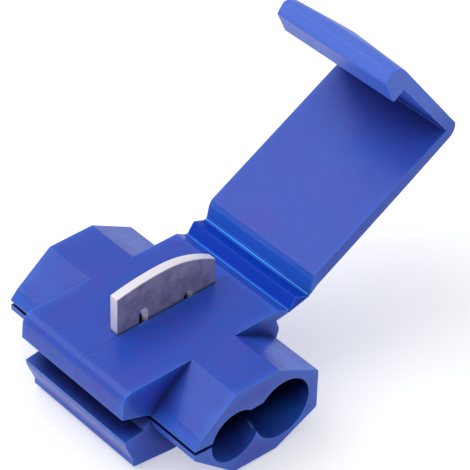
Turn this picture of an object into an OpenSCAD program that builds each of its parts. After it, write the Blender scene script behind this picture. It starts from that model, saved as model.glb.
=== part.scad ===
// Quick-splice tap connector with a hinged cover and a raised contact blade.
// The wires lie along X, the jaws open towards -Y, the cover hangs on the +Y
// side and Z points up from the underside of the housing.

/* [Housing block] */
// Length of the block along the wires
block_len = 13.6; // [11:0.1:17]
// Height of the flat top above the underside
housing_h = 9.1; // [8.7:0.1:10]
// Reach of the upper jaw from the middle of the blade
jaw_reach = 9.9; // [9.4:0.1:11]
// Thickness of the upper jaw at its nose
jaw_thick = 2.5; // [1.8:0.1:2.8]
// Radius of the nose's upper edge
nose_r = 1.1; // [0.4:0.1:1.5]
// Set-back of the nose's upper edge
nose_lean = 0.2; // [0:0.05:0.4]
// Reach of the lower jaw from the middle of the blade
lip_reach = 9.6; // [9:0.1:9.6]
// Height of the lower jaw's rim above the underside
lip_z = 3.85; // [3.4:0.05:4.1]
// Thickness of the lower jaw's rim
lip_thick = 0.6; // [0.4:0.05:0.8]
// Set-back of the rim's lower edge
lip_lean = 0.1; // [0:0.05:0.3]
// Length of the lead-in above the slit
lead_top_len = 0.4; // [0.2:0.05:0.8]
// Rise of that lead-in
lead_top_rise = 0.35; // [0.1:0.05:0.6]
// Length of the lead-in below the slit
lead_low_len = 0.8; // [0.4:0.05:1.2]
// Fall of that lead-in
lead_low_fall = 0.75; // [0.4:0.05:0.9]
// Reach of the wall below the lower jaw
foot_reach = 8.7; // [7.8:0.1:9]
// Rise of the underside from the middle to the foot's edge
foot_rise = 0.55; // [0.2:0.05:0.8]
// Height of that wall's top above the underside
foot_h = 1.2; // [1:0.1:2]
// Reach of the flat underside towards the jaws
rest_front = 4.4; // [3:0.1:5]
// Reach of the flat underside towards the hinge
rest_back = 5.8; // [5:0.1:6.2]
// Rise of the bevel from there to the wall on the hinge side
rest_bevel = 1.4; // [0.8:0.1:2]
// Reach of the block's wall on the hinge side
back_reach = 7.2; // [7:0.1:7.6]
// Bulge of that wall below the hinge lip
back_bulge = 0.35; // [0:0.05:0.6]
// Height of that bulge
bulge_h = 2.2; // [1.6:0.1:3]
// Radius of the bulge's middle
bulge_r = 0.8; // [0.4:0.1:1.2]
// Fall of the hinge lip's underside towards the wall
lip_fall = 0.15; // [0:0.05:0.4]

/* [Wire tubes] */
// Overall length of the housing over both tubes
tube_span = 25; // [21:0.5:32]
// Width of the flat on top of the tubes
tube_flat = 4.75; // [3:0.05:5.5]
// Reach of the tubes on the hinge side
tube_back = 6.95; // [6.6:0.05:7.2]
// Reach of the tubes on the jaw side
tube_front = 6.8; // [6:0.05:7.2]
// Height of the tubes' underside above the block's underside
tube_lift = 0.35; // [0.2:0.05:0.6]
// Fall of that underside from the jaw side to the hinge side
tube_fall = 0.15; // [0:0.05:0.2]
// Fall of the upper bevel on the hinge side
bevel_back_top = 2.55; // [1.5:0.05:3]
// Rise of the lower bevel on the hinge side
bevel_back_low = 2.0; // [1:0.05:2.6]
// Fall of the upper bevel on the jaw side
bevel_front_top = 3.65; // [2.5:0.05:3.8]
// Depth of the rounded shoulder at the foot of that bevel
shoulder_in = 0.75; // [0.4:0.05:1]
// Height of that shoulder
shoulder_h = 0.8; // [0.6:0.05:1.2]
// Radius of that shoulder
shoulder_r = 1; // [0.4:0.1:1.4]
// Rise of the lower bevel on the jaw side
bevel_front_low = 3.9; // [2.5:0.05:4]

/* [Wire channels] */
// Diameter of the run wire's channel
run_d = 5.2; // [4:0.1:5.4]
// Distance of the run channel from the middle
run_y = 2.35; // [2.1:0.05:2.6]
// Diameter of the tap wire's channel
tap_d = 6.0; // [4.5:0.1:6.2]
// Distance of the tap channel from the middle
tap_y = 2.95; // [2.7:0.05:3.2]
// Height of both channels' axes above the underside
channel_z = 4.45; // [4.3:0.05:4.8]
// Thickness of the wall that stops the tap wire
stop_wall = 1.2; // [0.6:0.1:3]
// Thickness of the web that parts the channels
septum_t = 0.2; // [0.1:0.05:0.6]
// Height of that web's top above the underside
septum_z = 4.0; // [3:0.05:5.2]
// Radius that rounds the web off at each mouth
septum_mouth_r = 1.8; // [0.4:0.1:1.9]
// Height of the open neck that joins the channels
neck_z = 6.45; // [5.8:0.05:6.6]
// Width of that neck
neck_w = 2.2; // [1.6:0.1:2.6]
// Height of the slit that lets the run wire in
slit_h = 0.4; // [0.2:0.05:0.6]
// Height of the slit's floor at the outside
slit_z = 4.85; // [4.6:0.05:5]
// Fall of the slit from the outside to the channel
slit_fall = 0.35; // [0:0.05:0.5]

/* [Blade] */
// Thickness of the contact blade
blade_t = 0.95; // [0.6:0.05:1.2]
// Reach of the blade towards the jaws
blade_front = 5.25; // [4.6:0.05:5.6]
// Reach of the blade towards the hinge
blade_back = 5.65; // [5:0.05:5.9]
// Height of the blade from its feet to the crown of its arch
blade_h = 6.1; // [5.5:0.1:6.6]
// How far the crown stands above the housing when open
blade_proud = 4.4; // [3.8:0.1:4.6]
// Fall of the arch at the jaw end
arch_fall_front = 0.55; // [0.1:0.05:1]
// Fall of the arch at the hinge end
arch_fall_back = 1.75; // [0.8:0.05:2]
// Place of the crown along the blade
crown_y = 0.0; // [-1:0.1:1]
// Bevel at the corners of the blade's foot
foot_bevel = 0.5; // [0.2:0.1:0.8]
// Width of the wire slots
slot_w = 0.95; // [0.6:0.05:1.3]
// Length of the run wire's slot
run_slot_len = 3.1; // [2.4:0.1:3.4]
// Length of the tap wire's slot
tap_slot_len = 2.4; // [2:0.1:3.2]
// Height of the flare at both slots' open ends
slot_flare = 0.6; // [0.3:0.1:0.9]
// Shift of the tap wire's slot from its channel's axis towards the middle
tap_slot_shift = 0.3; // [0:0.05:0.5]
// Gap between the blade and its slot in the housing
blade_gap = 0.05; // [0.03:0.01:0.15]

/* [Hinge] */
// Distance of the first fold line from the middle
fold_y = 8.62; // [8.5:0.02:9]
// Depth of the first fold line below the flat top
fold_drop = 0.72; // [0.6:0.02:0.9]
// Distance between the two fold lines
strip_w = 2.265; // [2.2:0.005:2.5]
// Rise angle of the strip in the open pose
strip_angle = 13.8; // [10:0.2:16]
// Rise angle of the cover in the open pose
cover_angle = 29; // [24:0.5:32]
// Angle that the strip turns to close
strip_turn = 88; // [80:0.5:88]
// Thickness of the film at the fold lines
film_t = 0.26; // [0.2:0.02:0.32]
// Gap round the film's rounded edges
film_gap = 0.03; // [0.02:0.01:0.08]
// Height of the strip's ridge above its folds
ridge_h = 0.85; // [0.5:0.05:0.9]
// Distance of the ridge from the first fold line
ridge_at = 0.95; // [0.8:0.05:1]
// Width of the ridge's top
ridge_w = 0.165; // [0.125:0.005:0.3]
// Width of the bevel from the flat top down to the first fold line
fold_bevel = 1.2; // [1:0.05:1.6]

/* [Cover] */
// Length of the panel from the fold line to the leg
panel_len = 18.8; // [18.7:0.05:20]
// Thickness of the panel near the fold line
panel_root_t = 1.35; // [1:0.05:1.4]
// Thickness of the panel at the leg
panel_t = 1.15; // [0.9:0.05:1.3]
// Length of the outer bevel at the panel's root
root_bevel = 1.2; // [0.8:0.1:2]
// Length of the inner ramp at the panel's root
root_ramp = 1.5; // [1.4:0.05:2]
// Gap between the closed panel and the flat top
panel_gap = 0.05; // [0.02:0.01:0.2]
// Thickness of the leg
leg_t = 1.25; // [1:0.05:1.8]
// Length of the leg down to its catch
leg_len = 8.95; // [8.9:0.05:9.6]
// Lean of the leg towards the hinge
leg_lean = 10.5; // [6:0.5:10.5]
// Reach of the catch from the leg
catch_reach = 1.4; // [1.2:0.05:1.6]
// Height of the catch
catch_h = 2.9; // [2.4:0.1:3.2]
// Height of the leg's rounded tip
tip_h = 1.4; // [1.2:0.1:1.8]
// How far the catch hooks back towards the panel
catch_hook = 0.1; // [0:0.05:0.15]
// Radius of the cover's outer corner
corner_r = 1.2; // [0.4:0.1:1.4]
// Extra thickness of the leg half way along the block
leg_crown = 0.5; // [0:0.05:0.6]

/* [Hidden] */
eps = 0.01;
far = 40;
arc_step = 12;
soft_r = 0.3;
crisp_r = 0.12;
housing_blue = [0.18, 0.24, 0.72];
fold_blue = [0.24, 0.42, 0.90];
tin = [0.78, 0.76, 0.78];

half_block = block_len / 2;
half_span = tube_span / 2;
flat_reach = tube_flat / 2;
jaw_under = housing_h - jaw_thick;
slit_top = slit_z + slit_h;
septum_y = (run_d / 2 - run_y + tap_y - tap_d / 2) / 2;
shoulder_z = housing_h - bevel_front_top;
bead_r = film_t / 2;
groove_foot = 0.7 * bead_r;
fold_z = housing_h - fold_drop;
bulge_top = fold_z - bead_r - lip_fall;
fold_1 = [fold_y, fold_z];
fold_2 = fold_1 + strip_w * [cos(strip_angle), sin(strip_angle)];
closed_angle = strip_angle + strip_turn;
closed_fold_z = fold_z + strip_w * sin(closed_angle);
cover_in = closed_fold_z - housing_h - panel_gap;
cover_out = cover_in - panel_t;
cover_root_out = cover_in - panel_root_t;
catch_n = cover_in + leg_len;
leg_slope = tan(leg_lean);
root_u = panel_len - leg_len * leg_slope;
tip_u = root_u - catch_reach;
end_n = catch_n + catch_h;
blade_top = housing_h + blade_proud;
blade_low = blade_top - blade_h;
blade_slot_floor = blade_low - blade_proud - blade_gap;

// Points of an outline whose corners [y, z, r] are rounded by their own radius
function unit(v) = v / norm(v);
function flat(p) = [p.x, p.y];
function arc_points(c, r, a0, turn) =
    let (n = max(2, ceil(abs(turn) / arc_step)))
    [for (i = [0 : n]) c + r * [cos(a0 + turn * i / n), sin(a0 + turn * i / n)]];
function corner_points(a, b, c, r) =
    let (
        u = unit(a - b),
        v = unit(c - b),
        half = acos(max(-1, min(1, u * v))) / 2,
        centre = b + unit(u + v) * r / sin(half),
        p0 = b + u * r / tan(half),
        p1 = b + v * r / tan(half),
        a0 = atan2(p0.y - centre.y, p0.x - centre.x),
        a1 = atan2(p1.y - centre.y, p1.x - centre.x),
        turn = a1 - a0 > 180 ? a1 - a0 - 360 : a1 - a0 < -180 ? a1 - a0 + 360 : a1 - a0
    )
    arc_points(centre, r, a0, turn);
function rounded(pts) =
    let (n = len(pts))
    [for (i = [0 : n - 1])
        let (a = flat(pts[(i + n - 1) % n]), b = flat(pts[i]), c = flat(pts[(i + 1) % n]))
        each pts[i][2] > 0 ? corner_points(a, b, c, pts[i][2]) : [b]];

// A point of the cover, u along its panel and n towards its inner side
function on_cover(u, n, r = 0) = [
    fold_2.x + u * cos(cover_angle) - n * sin(cover_angle),
    fold_2.y + u * sin(cover_angle) + n * cos(cover_angle),
    r
];

// An outline in the plane across the wires, drawn out along them
module along_wires(length) {
    translate([-length / 2, 0, 0])
        rotate([90, 0, 90])
            linear_extrude(length)
                children();
}

// A round bar or hole along the wires
module wire_round(d, from, to, y, z) {
    translate([from, y, z])
        rotate([0, 90, 0])
            cylinder(d = d, h = to - from, $fn = 64);
}

// Eight-sided section of the wire tubes
module tube_outline() {
    polygon(rounded([
        [-flat_reach, housing_h, soft_r],
        [-tube_front + shoulder_in, shoulder_z + shoulder_h, shoulder_r],
        [-tube_front, shoulder_z, crisp_r],
        [-tube_front, tube_lift + bevel_front_low, crisp_r],
        [-flat_reach, tube_lift, soft_r],
        [flat_reach, tube_lift - tube_fall, soft_r],
        [tube_back, tube_lift + bevel_back_low, soft_r],
        [tube_back, housing_h - bevel_back_top, soft_r],
        [flat_reach, housing_h, soft_r]
    ]));
}

// Section of the block with both jaws still joined
module block_outline() {
    polygon(rounded([
        [-jaw_reach + nose_lean, housing_h, nose_r],
        [-jaw_reach, jaw_under, crisp_r],
        [-lip_reach, lip_z, crisp_r],
        [-lip_reach + lip_lean, lip_z - lip_thick, crisp_r],
        [-foot_reach, foot_h, soft_r],
        [-foot_reach, foot_rise, crisp_r],
        [-rest_front, 0, 0],
        [rest_back, 0, soft_r],
        [back_reach, rest_bevel, soft_r],
        [back_reach, bulge_top - bulge_h, 0],
        [back_reach + back_bulge, bulge_top - bulge_h / 2, bulge_r],
        [back_reach, bulge_top, 0],
        [fold_y - bead_r, fold_z - bead_r, 0],
        [fold_y - bead_r, fold_z + groove_foot, 0],
        [fold_y - fold_bevel, housing_h, 0]
    ]));
}

// Flared mouth between the jaws, narrowing to the slit
module mouth_outline() {
    polygon([
        [-far, jaw_under],
        [-jaw_reach, jaw_under],
        [-tube_front - lead_top_len, slit_top + lead_top_rise],
        [-tube_front, slit_top],
        [-tube_front, slit_z],
        [-tube_front - lead_low_len, slit_z - lead_low_fall],
        [-lip_reach, lip_z],
        [-far, lip_z]
    ]);
}

// Narrow way from the mouth into the run wire's channel
module slit_outline() {
    polygon([
        [-far, slit_z],
        [-tube_front, slit_z],
        [-run_y, slit_z - slit_fall],
        [-run_y, slit_top - slit_fall],
        [-tube_front, slit_top],
        [-far, slit_top]
    ]);
}

// Thin web midway between the channels' near sides, rounded off at both mouths
module septum() {
    root_z = channel_z - run_d / 2;
    mouth_r = min(septum_mouth_r, 0.9 * (septum_z - root_z));
    translate([0, septum_y + septum_t / 2, 0])
        rotate([90, 0, 0])
            linear_extrude(septum_t)
                polygon(rounded([
                    [-half_span, root_z, 0],
                    [half_span, root_z, 0],
                    [half_span, septum_z, mouth_r],
                    [-half_span, septum_z, mouth_r]
                ]));
}

// Open neck over that web, through which the channels meet
module neck() {
    translate([-half_span + stop_wall, septum_y - neck_w / 2, channel_z])
        cube([far, neck_w, neck_z - channel_z]);
}

module housing_solid() {
    along_wires(tube_span)
        tube_outline();
    along_wires(block_len)
        block_outline();
}

module housing() {
    color(housing_blue)
        difference() {
            housing_solid();
            difference() {
                union() {
                    wire_round(run_d, -far, far, -run_y, channel_z);
                    wire_round(tap_d, -half_span + stop_wall, far, tap_y, channel_z);
                    neck();
                }
                septum();
            }
            along_wires(far)
                slit_outline();
            along_wires(far)
                mouth_outline();
            blade_slot();
            wire_round(film_t + 2 * film_gap, -far, far, fold_1.x, fold_1.y);
        }
}

// Pocket that guides the blade from the flat top down past both channels
module blade_slot() {
    width = blade_t + 2 * blade_gap;
    translate([-width / 2, -blade_front - blade_gap, blade_slot_floor])
        cube([width, blade_front + blade_back + 2 * blade_gap, far]);
}

// Height of the arch at a place along the blade
function arch_z(y) =
    y < crown_y
        ? blade_top - arch_fall_front * pow((crown_y - y) / (blade_front + crown_y), 2)
        : blade_top - arch_fall_back * pow((y - crown_y) / (blade_back - crown_y), 2);

module blade_outline() {
    steps = 24;
    pitch = (blade_front + blade_back) / steps;
    polygon(concat(
        [for (i = [0 : steps]) [-blade_front + i * pitch, arch_z(-blade_front + i * pitch)]],
        [[blade_back, blade_low + foot_bevel], [blade_back - foot_bevel, blade_low]],
        [[-blade_front + foot_bevel, blade_low], [-blade_front, blade_low + foot_bevel]]
    ));
}

// Slot that cuts the insulation and grips the wire, open at the blade's foot
module wire_slot(y, length) {
    translate([0, y, blade_low])
        rotate([90, 0, 90])
            linear_extrude(far, center = true)
                union() {
                    translate([-slot_w / 2, -eps])
                        square([slot_w, length - slot_w / 2 + eps]);
                    translate([0, length - slot_w / 2])
                        circle(d = slot_w, $fn = 32);
                    polygon([
                        [-slot_w, -eps],
                        [slot_w, -eps],
                        [slot_w / 2, slot_flare],
                        [-slot_w / 2, slot_flare]
                    ]);
                }
}

module contact_blade() {
    color(tin)
        difference() {
            along_wires(blade_t)
                blade_outline();
            wire_slot(-run_y, run_slot_len);
            wire_slot(tap_y - tap_slot_shift, tap_slot_len);
        }
}

// A round bead along a fold line
module bead(p) {
    wire_round(film_t, -half_block, half_block, p.x, p.y);
}

// A point of the strip, u from the first fold line and n above both
function on_strip(u, n, r = 0) = [
    fold_1.x + u * cos(strip_angle) - n * sin(strip_angle),
    fold_1.y + u * sin(strip_angle) + n * cos(strip_angle),
    r
];

module hinge_strip() {
    color(fold_blue) {
        along_wires(block_len)
            polygon(rounded([
                on_strip(0, -bead_r),
                on_strip(strip_w, -bead_r),
                on_strip(strip_w - groove_foot, groove_foot),
                on_strip(ridge_at + ridge_w, ridge_h, crisp_r),
                on_strip(ridge_at, ridge_h, crisp_r),
                on_strip(groove_foot, groove_foot)
            ]));
        bead(fold_1);
        bead(fold_2);
    }
}

// Section of the cover: bevelled root, panel, corner, leg and catch
module cover_outline() {
    leg_end_n = end_n - tip_h;
    leg_end_u = panel_len - (leg_end_n - cover_in) * leg_slope;
    tip_r = 0.8;
    tip_nose = 0.5;
    catch_top_in = 0.1;
    catch_bevel = [0.2, 0.45];
    ramp_step = [0.45, 0.3];
    polygon(rounded([
        on_cover(bead_r, -bead_r),
        on_cover(root_bevel, cover_root_out),
        on_cover(panel_len + leg_t + leg_crown, cover_out, corner_r),
        on_cover(leg_end_u + leg_t + leg_crown, leg_end_n, tip_r),
        on_cover(leg_end_u + leg_t / 2 + leg_crown, end_n - tip_nose, tip_nose),
        on_cover(root_u - catch_top_in, end_n, soft_r),
        on_cover(tip_u + catch_bevel.x, end_n - catch_bevel.y, soft_r),
        on_cover(tip_u, catch_n - catch_hook, crisp_r),
        on_cover(root_u, catch_n, crisp_r),
        on_cover(panel_len, cover_in, crisp_r),
        on_cover(root_ramp, cover_in, soft_r),
        on_cover(root_ramp - ramp_step.x, cover_in - ramp_step.y, soft_r),
        on_cover(bead_r, groove_foot)
    ]));
}

// Wedge that draws one end of the leg's outer face in from its crown
module leg_draft(side) {
    foot = on_cover(panel_len + leg_t, cover_out);
    tip = on_cover(root_u + leg_t, catch_n);
    run = flat(tip) - flat(foot);
    translate([0, foot.x, foot.y])
        rotate([atan2(run.y, run.x) - 90, 0, 0])
            translate([0, 0, -catch_h])
                linear_extrude(norm(run) + 3 * catch_h)
                    polygon([
                        [0, leg_crown + eps],
                        [side * half_block, 0],
                        [side * (half_block + eps), 0],
                        [side * (half_block + eps), far],
                        [0, far]
                    ]);
}

module cover() {
    color(housing_blue)
        difference() {
            along_wires(block_len)
                cover_outline();
            wire_round(film_t + 2 * film_gap, -far, far, fold_2.x, fold_2.y);
            leg_draft(-1);
            leg_draft(1);
        }
}

housing();
contact_blade();
hinge_strip();
cover();
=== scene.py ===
import math

import bmesh
import bpy
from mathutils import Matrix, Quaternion, Vector


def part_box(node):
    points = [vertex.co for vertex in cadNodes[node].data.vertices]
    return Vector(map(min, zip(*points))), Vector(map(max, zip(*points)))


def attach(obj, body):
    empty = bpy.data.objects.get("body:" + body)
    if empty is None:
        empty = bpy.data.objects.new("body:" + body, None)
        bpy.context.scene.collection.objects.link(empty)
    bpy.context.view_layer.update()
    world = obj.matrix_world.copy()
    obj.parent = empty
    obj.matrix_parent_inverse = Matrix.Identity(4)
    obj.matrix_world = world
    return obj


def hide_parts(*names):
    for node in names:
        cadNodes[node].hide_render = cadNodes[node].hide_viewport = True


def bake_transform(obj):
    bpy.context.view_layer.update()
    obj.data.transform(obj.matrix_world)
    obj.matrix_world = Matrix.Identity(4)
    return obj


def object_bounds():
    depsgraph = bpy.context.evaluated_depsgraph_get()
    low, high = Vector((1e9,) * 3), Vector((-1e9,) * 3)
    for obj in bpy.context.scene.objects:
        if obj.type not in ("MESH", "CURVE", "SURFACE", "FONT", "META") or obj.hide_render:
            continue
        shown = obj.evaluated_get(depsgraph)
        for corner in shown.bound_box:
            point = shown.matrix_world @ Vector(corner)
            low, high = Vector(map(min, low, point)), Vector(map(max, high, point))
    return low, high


mm = 0.001
bpy.context.scene.view_settings.view_transform = "Standard"

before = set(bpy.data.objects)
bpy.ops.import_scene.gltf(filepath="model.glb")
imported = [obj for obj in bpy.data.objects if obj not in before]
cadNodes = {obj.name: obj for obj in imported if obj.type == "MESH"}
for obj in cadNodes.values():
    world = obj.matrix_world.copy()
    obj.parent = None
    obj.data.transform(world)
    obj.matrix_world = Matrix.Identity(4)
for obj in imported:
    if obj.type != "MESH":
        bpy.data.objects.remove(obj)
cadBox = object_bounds()
print("frame loaded:", ", ".join(sorted(cadNodes)))


# camera

cameraView = {
    "place": (128.18, -107.78, 153.10),   # mm
    "towards": (-0.57566, 0.52106, -0.63017),
    "roll": 1.70,                         # degrees
    "lens": 197.3,
    "sensor": 36.0,
}


def addCamera():
    data = bpy.data.cameras.new("camera")
    data.lens = cameraView["lens"]
    data.sensor_width = cameraView["sensor"]
    data.clip_start = 0.01
    camera = bpy.data.objects.new("camera", data)
    camera.location = Vector(cameraView["place"]) * mm
    level = Vector(cameraView["towards"]).to_track_quat("-Z", "Y")
    camera.rotation_euler = (level @ Quaternion((0, 0, 1), math.radians(cameraView["roll"]))).to_euler()
    bpy.context.collection.objects.link(camera)
    bpy.context.scene.camera = camera


addCamera()
print("camera placed")


# small helpers for node materials

def newMaterial(name):
    material = bpy.data.materials.new(name)
    material.use_nodes = True
    tree = material.node_tree
    tree.nodes.clear()
    out = tree.nodes.new("ShaderNodeOutputMaterial")
    shader = tree.nodes.new("ShaderNodeBsdfPrincipled")
    tree.links.new(shader.outputs["BSDF"], out.inputs["Surface"])
    return material, tree, shader


def feed(tree, socket, value):
    if isinstance(value, (int, float, tuple)):
        socket.default_value = value
    else:
        tree.links.new(value, socket)


def math2(tree, operation, a, b=0.0, clamp=False):
    node = tree.nodes.new("ShaderNodeMath")
    node.operation = operation
    node.use_clamp = clamp
    feed(tree, node.inputs[0], a)
    feed(tree, node.inputs[1], b)
    return node.outputs[0]


def ramp(tree, value, low, high, toLow=0.0, toHigh=1.0):
    node = tree.nodes.new("ShaderNodeMapRange")
    node.interpolation_type = "SMOOTHSTEP"
    feed(tree, node.inputs["Value"], value)
    node.inputs["From Min"].default_value = low
    node.inputs["From Max"].default_value = high
    node.inputs["To Min"].default_value = toLow
    node.inputs["To Max"].default_value = toHigh
    return node.outputs["Result"]


def mixColour(tree, factor, a, b, blend="MIX"):
    node = tree.nodes.new("ShaderNodeMix")
    node.data_type = "RGBA"
    node.blend_type = blend
    feed(tree, node.inputs[0], factor)
    feed(tree, node.inputs[6], a)
    feed(tree, node.inputs[7], b)
    return node.outputs[2]


def noise(tree, where, scale, detail=3.0, roughness=0.5):
    node = tree.nodes.new("ShaderNodeTexNoise")
    node.inputs["Scale"].default_value = scale
    node.inputs["Detail"].default_value = detail
    node.inputs["Roughness"].default_value = roughness
    tree.links.new(where, node.inputs["Vector"])
    return node.outputs["Fac"]


def objectPlace(tree):
    return tree.nodes.new("ShaderNodeTexCoord").outputs["Object"]


def axes(tree, where):
    node = tree.nodes.new("ShaderNodeSeparateXYZ")
    tree.links.new(where, node.inputs[0])
    return node.outputs[0], node.outputs[1], node.outputs[2]


def stretched(tree, where, scale):
    node = tree.nodes.new("ShaderNodeMapping")
    node.inputs["Scale"].default_value = scale
    tree.links.new(where, node.inputs["Vector"])
    return node.outputs["Vector"]


def addBump(tree, shader, height, strength, distance, edgeRadius):
    # the edges are rounded first, then the fine relief is laid over them
    rounded = tree.nodes.new("ShaderNodeBevel")
    rounded.samples = 8
    rounded.inputs["Radius"].default_value = edgeRadius
    node = tree.nodes.new("ShaderNodeBump")
    tree.links.new(rounded.outputs["Normal"], node.inputs["Normal"])
    node.inputs["Strength"].default_value = strength
    node.inputs["Distance"].default_value = distance
    tree.links.new(height, node.inputs["Height"])
    tree.links.new(node.outputs["Normal"], shader.inputs["Normal"])


# moulded blue plastic

plasticLook = {
    "body": (0.013, 0.082, 0.565, 1),
    "violet": (0.050, 0.064, 0.510, 1),
    # painted glow: the clearer blue laid on thin walls and convex edges
    "paintedGlow": (0.045, 0.205, 0.860, 1),
    "fold": (0.018, 0.122, 0.660, 1),
    # painted light colour for the upper leg and catch
    "paintedLight": (0.085, 0.200, 0.840, 1),
    # painted shade inside the wire channels
    "channelShade": (0.0008, 0.0012, 0.030, 1),
    "dust": (0.60, 0.60, 0.72, 1),
    "blotch": 260.0,         # per metre
    "mottle": 1100.0,
    "grain": 9000.0,
    "cloudiness": 3600.0,
    "cloud": (0.006, 0.030, 0.340, 1),
    "dustScale": 330.0,
    "thinReach": 1.3 * mm,
    "edgeReach": 0.30 * mm,
    "edgeGlowShare": 0.75,
    "cornerReach": 0.5 * mm,
    "foldReach": (1.5 * mm, 2.4 * mm),
    "roughness": (0.40, 0.47),
    "subsurface": 0.10,
    "scatter": 1.0 * mm,
}

partingLine = {
    "x": 0.62 * mm,
    "width": 0.055 * mm,
    "shade": 0.55,
    "ink": (0.004, 0.008, 0.060, 1),
}


def partingMask(tree, where, spans):
    # hairline in the plane between the two mould halves, only over the given spans of y and z
    x, y, z = axes(tree, where)
    away = math2(tree, "ABSOLUTE", math2(tree, "SUBTRACT", x, partingLine["x"]))
    line = ramp(tree, away, partingLine["width"], 0.4 * partingLine["width"])
    covered = 0.0
    for (yLow, yHigh), (zLow, zHigh) in spans:
        within = math2(tree, "MULTIPLY", math2(tree, "GREATER_THAN", y, yLow),
                       math2(tree, "LESS_THAN", y, yHigh))
        within = math2(tree, "MULTIPLY", within, math2(tree, "GREATER_THAN", z, zLow))
        within = math2(tree, "MULTIPLY", within, math2(tree, "LESS_THAN", z, zHigh))
        covered = math2(tree, "MAXIMUM", covered, within)
    return math2(tree, "MULTIPLY", line, covered)


def occlusion(tree, distance, inside=False, onlyItself=True):
    node = tree.nodes.new("ShaderNodeAmbientOcclusion")
    node.inside = inside
    node.only_local = onlyItself
    node.samples = 8
    node.inputs["Distance"].default_value = distance
    return node.outputs["AO"]


def edgeMask(tree, reach):
    # 1 where a rounded normal turns away from the flat one, near every edge
    rounded = tree.nodes.new("ShaderNodeBevel")
    rounded.samples = 8
    rounded.inputs["Radius"].default_value = reach
    surface = tree.nodes.new("ShaderNodeNewGeometry")
    dot = tree.nodes.new("ShaderNodeVectorMath")
    dot.operation = "DOT_PRODUCT"
    tree.links.new(rounded.outputs["Normal"], dot.inputs[0])
    tree.links.new(surface.outputs["Normal"], dot.inputs[1])
    return ramp(tree, math2(tree, "SUBTRACT", 1.0, dot.outputs["Value"]), 0.01, 0.16)


def awayFromFold(tree, where, place):
    # 0 beside a fold line along X, 1 a few millimetres away from it
    x, y, z = axes(tree, where)
    dy = math2(tree, "SUBTRACT", y, place[0] * mm)
    dz = math2(tree, "SUBTRACT", z, place[1] * mm)
    square = math2(tree, "ADD", math2(tree, "MULTIPLY", dy, dy), math2(tree, "MULTIPLY", dz, dz))
    return ramp(tree, math2(tree, "SQRT", square), *plasticLook["foldReach"])


def channelShadeMask(tree, where, channels):
    # painted shade mask: 0 outside the wire channels and on their floors at a mouth, 1 deep inside and
    # under their roofs
    x, y, z = axes(tree, where)
    inset = math2(tree, "SUBTRACT", channels["end"], math2(tree, "ABSOLUTE", x))
    dz = math2(tree, "SUBTRACT", z, channels["z"])
    depth = ramp(tree, math2(tree, "ADD", inset, dz), *channels["fade"])
    within = 0.0
    for centre, radius in channels["bores"]:
        dy = math2(tree, "SUBTRACT", y, centre)
        square = math2(tree, "ADD", math2(tree, "MULTIPLY", dy, dy), math2(tree, "MULTIPLY", dz, dz))
        near = math2(tree, "LESS_THAN", math2(tree, "SQRT", square), radius + 0.05 * mm)
        within = math2(tree, "MAXIMUM", within, near)
    within = math2(tree, "MULTIPLY", within, math2(tree, "GREATER_THAN", inset, 0.04 * mm))
    return math2(tree, "MULTIPLY", within, depth)


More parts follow.
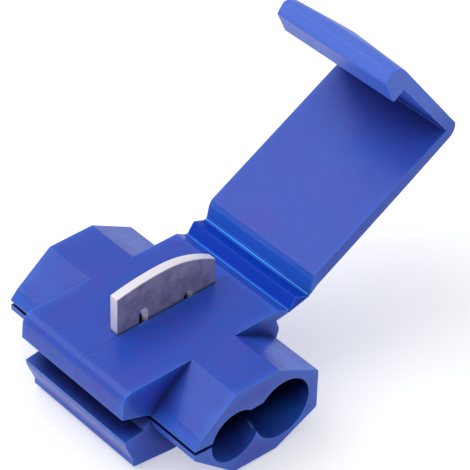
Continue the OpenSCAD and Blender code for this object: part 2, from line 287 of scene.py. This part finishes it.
def mouldedPlastic(name, values):
    look = plasticLook
    material, tree, shader = newMaterial(name)
    where = objectPlace(tree)

    blotches = ramp(tree, noise(tree, where, look["blotch"], 4.0, 0.6), 0.40, 0.68)
    mottles = ramp(tree, noise(tree, where, look["mottle"], 3.0, 0.6), 0.35, 0.75)
    violetness = math2(tree, "ADD", math2(tree, "MULTIPLY", blotches, 0.50),
                       math2(tree, "MULTIPLY", mottles, 0.35), clamp=True)
    violetness = math2(tree, "MULTIPLY", violetness, values["violetShare"])
    colour = mixColour(tree, violetness, values.get("base", look["body"]), look["violet"])

    clouds = ramp(tree, noise(tree, where, look["cloudiness"], 3.0, 0.7), 0.35, 0.72, 0.0, 0.24)
    colour = mixColour(tree, clouds, colour, look["cloud"])

    # painted glow and highlight: thin walls are painted a clearer blue for the light that passes through
    # them, and convex edges for the light that catches on them
    glowMask = ramp(tree, occlusion(tree, look["thinReach"], inside=True), 0.95, 0.35)
    glowMask = math2(tree, "MULTIPLY", glowMask, values["glowShare"])
    convex = ramp(tree, occlusion(tree, look["cornerReach"]), 0.70, 0.92)
    # painted highlight along convex edges, kept out of concave corners
    edge = math2(tree, "MULTIPLY", math2(tree, "MULTIPLY", edgeMask(tree, look["edgeReach"]), convex),
                 look["edgeGlowShare"])
    glowMask = math2(tree, "MAXIMUM", glowMask, edge)
    colour = mixColour(tree, glowMask, colour, look["paintedGlow"])

    specks = tree.nodes.new("ShaderNodeTexVoronoi")
    specks.inputs["Scale"].default_value = look["dustScale"]
    tree.links.new(where, specks.inputs["Vector"])
    tint = tree.nodes.new("ShaderNodeSeparateColor")
    tree.links.new(specks.outputs["Color"], tint.inputs[0])
    speck = math2(tree, "MULTIPLY", math2(tree, "LESS_THAN", specks.outputs["Distance"], 0.040),
                  math2(tree, "GREATER_THAN", tint.outputs[0], 0.78))
    colour = mixColour(tree, math2(tree, "MULTIPLY", speck, 0.5), colour, look["dust"])

    grain = noise(tree, where, look["grain"], 2.0, 0.5)
    waves = noise(tree, where, look["mottle"], 2.0, 0.5)
    height = math2(tree, "ADD", math2(tree, "MULTIPLY", grain, 0.15), math2(tree, "MULTIPLY", waves, 0.6))
    if values["partingSpans"]:
        line = partingMask(tree, where, values["partingSpans"])
        colour = mixColour(tree, math2(tree, "MULTIPLY", line, partingLine["shade"]), colour,
                           partingLine["ink"])
        height = math2(tree, "SUBTRACT", height, math2(tree, "MULTIPLY", line, 1.5))

    # painted shade: the hollows and the wire channels are painted darker, as little light finds its way
    # out of them
    openness = 1.0
    if values["hollowShade"]:
        reach, closed, opened, shadeColour = values["hollowShade"]
        openness = ramp(tree, occlusion(tree, reach), closed, opened)
        colour = mixColour(tree, openness, shadeColour, colour)
    if values["channels"]:
        depth = channelShadeMask(tree, where, values["channels"])
        colour = mixColour(tree, depth, colour, look["channelShade"])
    # painted light: higher up the cover, on the leg and the catch, the colour is painted paler where more
    # light falls, less so in painted shade
    if values["paintedLight"]:
        low, high, share = values["paintedLight"]
        paintedLight = math2(tree, "MULTIPLY", ramp(tree, axes(tree, where)[2], low, high), share)
        colour = mixColour(tree, math2(tree, "MULTIPLY", paintedLight, openness), colour, look["paintedLight"])
    if values["fold"]:
        colour = mixColour(tree, awayFromFold(tree, where, values["fold"]), look["fold"], colour)
    if values["creaseGlow"]:
        # painted glow along each fold line, in a light blue
        creaseGlow = tree.nodes.new("ShaderNodeAttribute")
        creaseGlow.attribute_name = "creaseGlow"
        line = ramp(tree, creaseGlow.outputs["Fac"], 0.35, 0.62)
        colour = mixColour(tree, line, colour, values["creaseGlow"])
        # painted glow: the film is made to glow along the fold, for the light it lets through where it is
        # thinnest
        shader.inputs["Emission Color"].default_value = values["creaseGlow"]
        feed(tree, shader.inputs["Emission Strength"], math2(tree, "MULTIPLY", line, 0.35))
    feed(tree, shader.inputs["Base Color"], colour)
    if values["hollowShade"]:
        feed(tree, shader.inputs["Coat Weight"], math2(tree, "MULTIPLY", openness, values["coat"]))
    rough = ramp(tree, waves, 0.3, 0.7, look["roughness"][0], look["roughness"][1])
    shaded = math2(tree, "SUBTRACT", 0.95, math2(tree, "MULTIPLY", openness, 0.55))
    rough = math2(tree, "MAXIMUM", rough, shaded)
    feed(tree, shader.inputs["Roughness"], rough)
    shader.inputs["IOR"].default_value = 1.49
    shader.inputs["Specular IOR Level"].default_value = values["specular"]
    shader.inputs["Coat Roughness"].default_value = 0.22
    shader.inputs["Subsurface Weight"].default_value = look["subsurface"]
    shader.inputs["Subsurface Radius"].default_value = (0.25, 0.45, 1.0)
    shader.inputs["Subsurface Scale"].default_value = look["scatter"]
    addBump(tree, shader, height, 0.30, 0.02 * mm, values["edgeRadius"])
    return material


# tin plated blade

bladeLook = {
    "face": (0.43, 0.385, 0.47, 1),
    "tarnish": (0.25, 0.215, 0.28, 1),
    "edge": (0.93, 0.88, 0.95, 1),
    "shadeColour": (0.03, 0.03, 0.06, 1),
    "rolled": (2500.0, 120.0, 9000.0),
    "cloud": 850.0,
    "roughness": (0.30, 0.46),
    "metallic": (0.48, 0.12),             # of the faces and of the rim
    "shadeReach": 0.9 * mm,
    "edgeRadius": 0.04 * mm,
}


def tinPlate(name, thickness):
    look = bladeLook
    material, tree, shader = newMaterial(name)
    where = objectPlace(tree)
    rolled = noise(tree, stretched(tree, where, look["rolled"]), 1.0, 3.0, 0.6)
    cloud = noise(tree, where, look["cloud"], 3.0, 0.6)
    dull = math2(tree, "MULTIPLY", ramp(tree, cloud, 0.35, 0.70), 0.75)
    colour = mixColour(tree, dull, look["face"], look["tarnish"])
    # the sheared rim is painted brighter than the rolled faces, for its burnish and as a painted highlight
    x = axes(tree, where)[0]
    rim = ramp(tree, math2(tree, "ABSOLUTE", x), 0.485 * thickness, 0.44 * thickness)
    colour = mixColour(tree, rim, colour, look["edge"])
    # painted shade in the slots and at the blade's foot, where it meets the housing
    openness = ramp(tree, occlusion(tree, look["shadeReach"], onlyItself=False), 0.38, 0.74)
    colour = mixColour(tree, openness, look["shadeColour"], colour)
    feed(tree, shader.inputs["Base Color"], colour)
    rough = ramp(tree, rolled, 0.3, 0.7, look["roughness"][0], look["roughness"][1])
    feed(tree, shader.inputs["Roughness"], rough)
    feed(tree, shader.inputs["Metallic"], ramp(tree, rim, 0.0, 1.0, *look["metallic"]))
    addBump(tree, shader, rolled, 0.25, 0.01 * mm, look["edgeRadius"])
    return material


# the moulding keeps its solids and gets the plastic

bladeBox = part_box("contact_blade")
bladeThick = bladeBox[1].x - bladeBox[0].x
everywhere = (-100 * mm, 100 * mm)
foldLines = {"first": (8.62, 8.38), "second": (10.8196, 8.9203)}   # y and z, mm

# a hollow's painted shade is its reach, the open share at which it is all painted shade and all clear, and
# its painted shade colour
plasticParts = {
    "housing": {
        "violetShare": 1.0,
        "glowShare": 0.35,
        "specular": 0.22,
        "coat": 0.34,
        "edgeRadius": 0.10 * mm,
        "hollowShade": (3.4 * mm, 0.30, 0.92, (0.001, 0.002, 0.060, 1)),
        "channels": {
            "bores": ((-2.35 * mm, 2.6 * mm), (2.95 * mm, 3.0 * mm)),   # y of each axis, radius
            "z": 4.45 * mm,
            "end": cadBox[1].x,
            "fade": (-1.7 * mm, 1.6 * mm),
        },
        "paintedLight": None,
        "fold": None,
        "creaseGlow": None,
        "partingSpans": (((-100 * mm, bladeBox[0].y), (6.8 * mm, 100 * mm)),
                         ((bladeBox[1].y, 8.3 * mm), (6.8 * mm, 100 * mm))),
    },
    "cover": {
        "violetShare": 1.0,
        "glowShare": 0.10,
        "specular": 0.32,
        "coat": 0.20,
        "edgeRadius": 0.13 * mm,
        # painted shadow of the leg and catch on the panel, reaching 9 mm
        "hollowShade": (9.0 * mm, 0.30, 0.82, (0.004, 0.006, 0.140, 1)),
        "channels": None,
        "paintedLight": (19 * mm, 24 * mm, 0.7),
        "fold": foldLines["second"],
        "creaseGlow": None,
        "partingSpans": ((everywhere, (26.2 * mm, 100 * mm)),),
    },
    "hinge_strip": {
        "base": (0.001, 0.054, 0.560, 1),
        "violetShare": 0.10,
        "glowShare": 0.0,
        "specular": 0.12,
        "coat": 0.0,
        "edgeRadius": 0.16 * mm,
        "hollowShade": (0.8 * mm, 0.05, 0.45, (0.002, 0.010, 0.200, 1)),
        "channels": None,
        "paintedLight": None,
        "fold": None,
        "creaseGlow": None,
        "partingSpans": (),
    },
    "film": {
        "violetShare": 0.0,
        "glowShare": 0.0,
        "specular": 0.20,
        "coat": 0.0,
        "edgeRadius": 0.05 * mm,
        "hollowShade": None,
        "channels": None,
        "paintedLight": None,
        "fold": None,
        "creaseGlow": (0.06, 0.38, 1.0, 1),
        "partingSpans": (),
    },
}

plastics = {}
for partName, values in plasticParts.items():
    plastics[partName] = mouldedPlastic(partName + "_plastic", values)

for nodeName in ("housing", "hinge_strip"):
    for slot in cadNodes[nodeName].material_slots:
        slot.material = plastics[nodeName]
print("moulding coloured")


# cover: its solid, with the corner above the leg rounded right to its crowned ends

coverCorner = {
    "lean": 29.0,            # of the open panel, degrees
    "outerEnd": (20.05, 0.295),   # where panel and leg meet at the ends, mm along and above the fold
    "outerRoot": (-5.0, -0.30),
    "crown": 0.36,
    "halfLength": 6.8,
    "legSlope": 0.1642,
    "legHeight": 13.297,
    "cornerRadius": 1.35,
    "tipRadius": 1.5,
    "segments": 10,
    "slack": 0.003,
    "weld": 0.5e-6,
}


def onCover(x, u, n):
    lean = math.radians(coverCorner["lean"])
    y0, z0 = foldLines["second"]
    return Vector((x, y0 + u * math.cos(lean) - n * math.sin(lean),
                   z0 + u * math.sin(lean) + n * math.cos(lean))) * mm


def cornerEnvelope():
    # a block that holds the whole cover, with its outer corner rounded along the crowned leg
    look = coverCorner
    bm = bmesh.new()
    bmesh.ops.create_cube(bm, size=2.0)
    bmesh.ops.bisect_plane(bm, geom=bm.verts[:] + bm.edges[:] + bm.faces[:], plane_co=(0, 0, 0),
                           plane_no=(1, 0, 0))
    uEnd, nEnd = look["outerEnd"]
    uRoot, nRoot = look["outerRoot"]
    reach = look["halfLength"] + 1.0
    corner = []
    tip = []
    for vert in bm.verts:
        side, far, high = vert.co
        crown = look["crown"] * (1 - abs(side) * reach / look["halfLength"])
        n = look["legHeight"] + look["slack"] if high > 0 else (nEnd if far > 0 else nRoot) - look["slack"]
        u = uEnd + crown + look["slack"] - (n - nEnd) * look["legSlope"] if far > 0 else uRoot
        if far > 0:
            (tip if high > 0 else corner).append(vert)
        vert.co = onCover(side * reach, u, n)
    lean = math.atan(look["legSlope"]) / 2
    for verts, radius, halfAngle in ((corner, look["cornerRadius"], math.pi / 4 - lean),
                                     (tip, look["tipRadius"], math.pi / 4 + lean)):
        edges = [edge for edge in bm.edges if all(vert in verts for vert in edge.verts)]
        bmesh.ops.bevel(bm, geom=edges, offset=radius / math.tan(halfAngle) * mm, offset_type="OFFSET",
                        segments=look["segments"], profile=0.5, affect="EDGES", clamp_overlap=False,
                        material=-1)
    bmesh.ops.recalc_face_normals(bm, faces=bm.faces)
    mesh = bpy.data.meshes.new("corner_envelope")
    bm.to_mesh(mesh)
    bm.free()
    return bpy.data.objects.new("corner_envelope", mesh)


def makeCover():
    bm = bmesh.new()
    bm.from_mesh(cadNodes["cover"].data)
    bmesh.ops.remove_doubles(bm, verts=bm.verts, dist=coverCorner["weld"])
    mesh = bpy.data.meshes.new("cover_moulding")
    bm.to_mesh(mesh)
    bm.free()
    piece = bpy.data.objects.new("cover_moulding", mesh)
    bpy.context.collection.objects.link(piece)
    envelope = cornerEnvelope()
    bpy.context.collection.objects.link(envelope)
    cut = piece.modifiers.new("round the corner", "BOOLEAN")
    cut.operation = "INTERSECT"
    cut.solver = "EXACT"
    cut.object = envelope
    graph = bpy.context.evaluated_depsgraph_get()
    cornered = bpy.data.meshes.new_from_object(piece.evaluated_get(graph))
    piece.modifiers.clear()
    bpy.data.objects.remove(envelope)
    cornered.name = "cover_moulding"
    bm = bmesh.new()
    bm.from_mesh(cornered)
    bmesh.ops.remove_doubles(bm, verts=bm.verts, dist=coverCorner["weld"])
    for face in bm.faces:
        face.smooth = True
        face.material_index = 0
    for edge in bm.edges:
        edge.smooth = edge.calc_face_angle(math.pi) < math.radians(24)
    print("cover: faces", len(bm.faces), "open edges", sum(not edge.is_manifold for edge in bm.edges))
    bm.to_mesh(cornered)
    bm.free()
    cornered.materials.clear()
    cornered.materials.append(plastics["cover"])
    piece.data = cornered
    weighted = piece.modifiers.new("even shading", "WEIGHTED_NORMAL")
    weighted.keep_sharp = True
    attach(piece, "cover")
    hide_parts("cover")


makeCover()
print("cover made")


# living hinge: a thin film over each fold line

film = {
    "first": {
        "place": foldLines["first"],
        "between": ("housing", "hinge_strip"),
        "lean": (-30.0, 14.0),   # degrees, on either side of the fold
        "lift": 0.10,
        "glow": 0.34,
    },
    "second": {
        "place": foldLines["second"],
        "between": ("hinge_strip", "cover"),
        "lean": (-5.0, 68.0),
        "lift": 0.14,
        "glow": 0.26,
    },
    "halfLength": 6.72,
    "reach": 0.34,
    "thick": 0.07,
    "steps": 8,
}


def makeFilm(name, values):
    # a narrow ribbon across the fold, drawn out along it and given its thickness
    bm = bmesh.new()
    y0, z0 = values["place"]
    z0 += values["lift"]
    row = []
    for step in range(film["steps"] + 1):
        t = 2 * step / film["steps"] - 1
        lean = math.radians(values["lean"][0] if t < 0 else values["lean"][1])
        y = y0 + t * film["reach"] * math.cos(lean)
        z = z0 + t * film["reach"] * math.sin(lean)
        row.append(bm.verts.new(Vector((-film["halfLength"], y, z)) * mm))
    edges = [bm.edges.new(pair) for pair in zip(row, row[1:])]
    grown = bmesh.ops.extrude_edge_only(bm, edges=edges)["geom"]
    moved = [part for part in grown if isinstance(part, bmesh.types.BMVert)]
    bmesh.ops.translate(bm, vec=(2 * film["halfLength"] * mm, 0, 0), verts=moved)
    bmesh.ops.recalc_face_normals(bm, faces=bm.faces)
    bmesh.ops.solidify(bm, geom=bm.faces, thickness=film["thick"] * mm)
    bmesh.ops.recalc_face_normals(bm, faces=bm.faces)
    creaseGlow = bm.verts.layers.float.new("creaseGlow")
    for vert in bm.verts:
        away = math.hypot(vert.co.y / mm - y0, vert.co.z / mm - z0)
        vert[creaseGlow] = 1 - min(1, away / values["glow"])
    for face in bm.faces:
        face.smooth = True
    mesh = bpy.data.meshes.new(name)
    bm.to_mesh(mesh)
    bm.free()
    mesh.materials.append(plastics["film"])
    piece = bpy.data.objects.new(name, mesh)
    bpy.context.collection.objects.link(piece)
    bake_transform(piece)
    return piece


for name in ("first", "second"):
    makeFilm(name + "_fold_film", film[name])
print("hinge films made")


# contact blade, with its sheared rim rounded

bladeRim = {
    "radius": 0.07 * mm,
    "segments": 2,
    "weld": 0.5e-6,
    "leastAngle": 25.0,
}


def makeBlade():
    bm = bmesh.new()
    bm.from_mesh(cadNodes["contact_blade"].data)
    bmesh.ops.remove_doubles(bm, verts=bm.verts, dist=bladeRim["weld"])
    bmesh.ops.dissolve_limit(bm, angle_limit=math.radians(0.6), verts=bm.verts, edges=bm.edges,
                             use_dissolve_boundaries=False)
    rim = []
    for edge in bm.edges:
        sharp = edge.calc_face_angle_signed(0.0) > math.radians(bladeRim["leastAngle"])
        onFace = all(abs(abs(vert.co.x) - bladeThick / 2) < bladeRim["weld"] for vert in edge.verts)
        if sharp and onFace and edge.verts[0].co.x * edge.verts[1].co.x > 0:
            rim.append(edge)
    bmesh.ops.bevel(bm, geom=rim, offset=bladeRim["radius"], offset_type="OFFSET",
                    segments=bladeRim["segments"], profile=0.5, affect="EDGES",
                    clamp_overlap=False, material=-1)
    for face in bm.faces:
        face.smooth = True
    for edge in bm.edges:
        edge.smooth = edge.calc_face_angle(math.pi) < math.radians(50)
    mesh = bpy.data.meshes.new("blade_stamping")
    bm.to_mesh(mesh)
    bm.free()
    mesh.materials.append(tinPlate("tin_plate", bladeThick))
    piece = bpy.data.objects.new("blade_stamping", mesh)
    bpy.context.collection.objects.link(piece)
    weighted = piece.modifiers.new("even shading", "WEIGHTED_NORMAL")
    weighted.keep_sharp = True
    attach(piece, "contact_blade")
    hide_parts("contact_blade")


makeBlade()
print("blade made")


# floor, light and background

studio = {
    "floorSize": 3.0,
    "floorGrey": 0.85,
    "floorLift": 0.42,
    "sky": 0.58,
    "lamps": {
        "key": {"power": 1.0, "size": 0.50, "place": (-0.19, -0.18, 0.41)},
    },
}


def addFloor():
    bm = bmesh.new()
    bmesh.ops.create_grid(bm, x_segments=1, y_segments=1, size=studio["floorSize"] / 2)
    mesh = bpy.data.meshes.new("floor")
    bm.to_mesh(mesh)
    bm.free()
    floor = bpy.data.objects.new("floor", mesh)
    bpy.context.collection.objects.link(floor)
    material = bpy.data.materials.new("white_floor")
    material.use_nodes = True
    tree = material.node_tree
    tree.nodes.clear()
    out = tree.nodes.new("ShaderNodeOutputMaterial")
    matt = tree.nodes.new("ShaderNodeBsdfDiffuse")
    matt.inputs["Color"].default_value = (studio["floorGrey"],) * 3 + (1,)
    lift = tree.nodes.new("ShaderNodeEmission")
    path = tree.nodes.new("ShaderNodeLightPath")
    seen = math2(tree, "MAXIMUM", path.outputs["Is Camera Ray"], path.outputs["Is Glossy Ray"])
    tree.links.new(math2(tree, "MULTIPLY", seen, studio["floorLift"]), lift.inputs["Strength"])
    both = tree.nodes.new("ShaderNodeAddShader")
    tree.links.new(matt.outputs[0], both.inputs[0])
    tree.links.new(lift.outputs[0], both.inputs[1])
    tree.links.new(both.outputs[0], out.inputs["Surface"])
    mesh.materials.append(material)


def addWorld():
    world = bpy.data.worlds.new("white_room")
    bpy.context.scene.world = world
    world.use_nodes = True
    tree = world.node_tree
    tree.nodes.clear()
    out = tree.nodes.new("ShaderNodeOutputWorld")
    sky = tree.nodes.new("ShaderNodeBackground")
    sky.inputs["Color"].default_value = (0.97, 0.98, 1.0, 1)
    path = tree.nodes.new("ShaderNodeLightPath")
    seen = math2(tree, "MAXIMUM", path.outputs["Is Camera Ray"], path.outputs["Is Glossy Ray"])
    seen = math2(tree, "MAXIMUM", seen, path.outputs["Is Transmission Ray"])
    strength = tree.nodes.new("ShaderNodeMapRange")
    tree.links.new(seen, strength.inputs["Value"])
    strength.inputs["To Min"].default_value = studio["sky"]
    strength.inputs["To Max"].default_value = 1.0
    tree.links.new(strength.outputs["Result"], sky.inputs["Strength"])
    tree.links.new(sky.outputs[0], out.inputs["Surface"])


def addLamp(name, values):
    data = bpy.data.lights.new(name, "AREA")
    data.shape = "DISK"
    data.size = values["size"]
    data.energy = values["power"]
    lamp = bpy.data.objects.new(name, data)
    lamp.location = values["place"]
    lamp.rotation_euler = (-lamp.location).to_track_quat("-Z", "Y").to_euler()
    bpy.context.collection.objects.link(lamp)


addFloor()
addWorld()
for name, values in studio["lamps"].items():
    addLamp(name, values)
print("studio lit")
